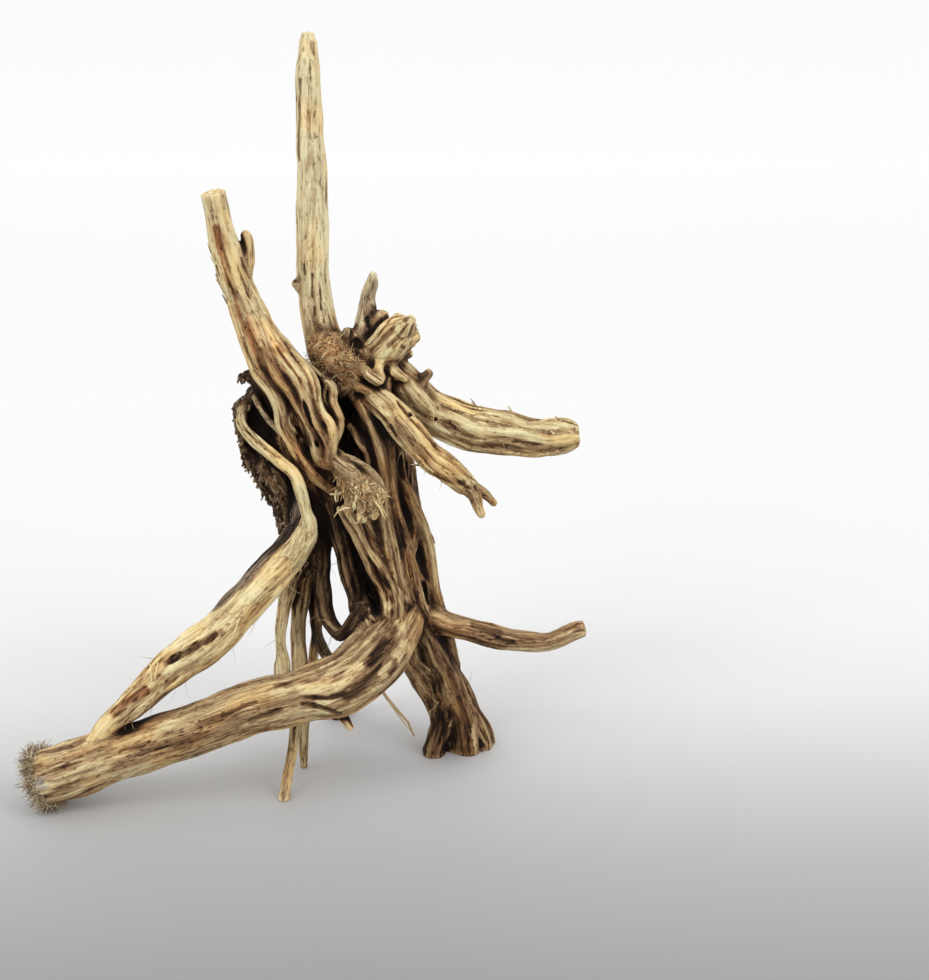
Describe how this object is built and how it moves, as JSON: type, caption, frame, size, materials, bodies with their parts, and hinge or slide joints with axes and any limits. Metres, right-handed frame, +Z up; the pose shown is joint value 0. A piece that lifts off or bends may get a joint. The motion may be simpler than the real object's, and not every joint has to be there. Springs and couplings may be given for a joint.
{
  "type": "aquarium root wood",
  "caption": "Weathered root wood that stands on its own feet, with a tall spire, a cut horn and gnarled arms round open gaps, as hardscape in an aquarium or terrarium.",
  "frame": {"origin": "middle of the bounding box in plan, on the surface that the wood stands on", "axes": "+X to the right of the front view, +Y away from its viewer, +Z up, along the spire"},
  "size_m": [0.3286, 0.154, 0.4361],
  "materials": {
    "root_wood": "dry, weathered and unfinished"
  },
  "bodies": {
    "root": {"root_wood": "root_wood"}
  },
  "joints": []
}
